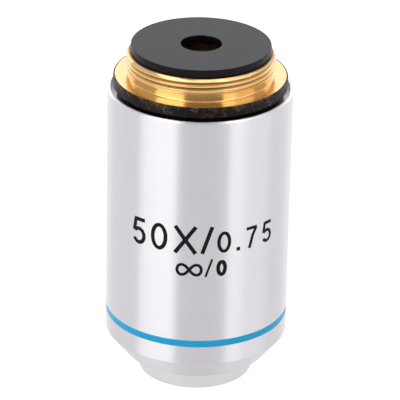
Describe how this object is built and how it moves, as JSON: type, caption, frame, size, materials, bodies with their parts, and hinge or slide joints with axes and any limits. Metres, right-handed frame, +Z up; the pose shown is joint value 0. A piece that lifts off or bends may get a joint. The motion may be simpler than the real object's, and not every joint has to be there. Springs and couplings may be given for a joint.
{
  "type": "microscope objective",
  "caption": "Sprung high-power microscope objective: a threaded brass mount, a satin metal sleeve and a short tapered nose that carries a stack of lenses.",
  "frame": {"origin": "centre of the nose's end face, which the objective stands on", "axes": "+Z up the optical axis towards the mounting thread; +X to the right and +Y away as the marking is read; the guide screw is on the +Y side"},
  "size_m": [0.0254, 0.0254, 0.0488],
  "materials": {
    "mount_brass": "turned brass, its flange's edge painted black",
    "black_stop": "matte black anodised",
    "black_anodised": "matte black anodised",
    "satin_chrome": "satin plated, with fine turning lines",
    "blue_enamel": "light blue enamel",
    "nose_steel": "satin turned",
    "inner_brass": "turned brass",
    "blackened_cell": "blackened",
    "black_spacer": "matte black anodised",
    "lens_glass": "polished and coated",
    "spring_steel": "bright spring wire",
    "screw_steel": "plain steel"
  },
  "bodies": {
    "housing": {"thread_mount": "mount_brass", "rear_stop": "black_stop", "main_body": "black_anodised", "outer_sleeve": "satin_chrome", "colour_ring": "blue_enamel", "parfocal_shim": "inner_brass", "guide_screw": "screw_steel", "spring": "spring_steel"},
    "lens_unit": {"lens_barrel": "inner_brass", "nose_cell": "nose_steel", "front_lens": "lens_glass", "meniscus_cell": "blackened_cell", "meniscus_lens": "lens_glass", "meniscus_lock_ring": "blackened_cell", "front_doublet_cell": "blackened_cell", "front_doublet_crown": "lens_glass", "front_doublet_flint": "lens_glass", "front_spacer": "black_spacer", "middle_doublet_cell": "blackened_cell", "middle_doublet_crown": "lens_glass", "middle_doublet_flint": "lens_glass", "rear_spacer": "black_spacer", "rear_group_cell": "blackened_cell", "rear_group_crown": "lens_glass", "rear_group_flint": "lens_glass", "barrel_lock_ring": "blackened_cell"}
  },
  "joints": [
    {"name": "nose_slide", "type": "slide", "parent": "housing", "child": "lens_unit", "axis": [0, 0, 1], "range_m": [0, 0.002], "stiffness_N_per_m": 600, "springref_m": -0.004, "deforming": ["spring"]}
  ]
}
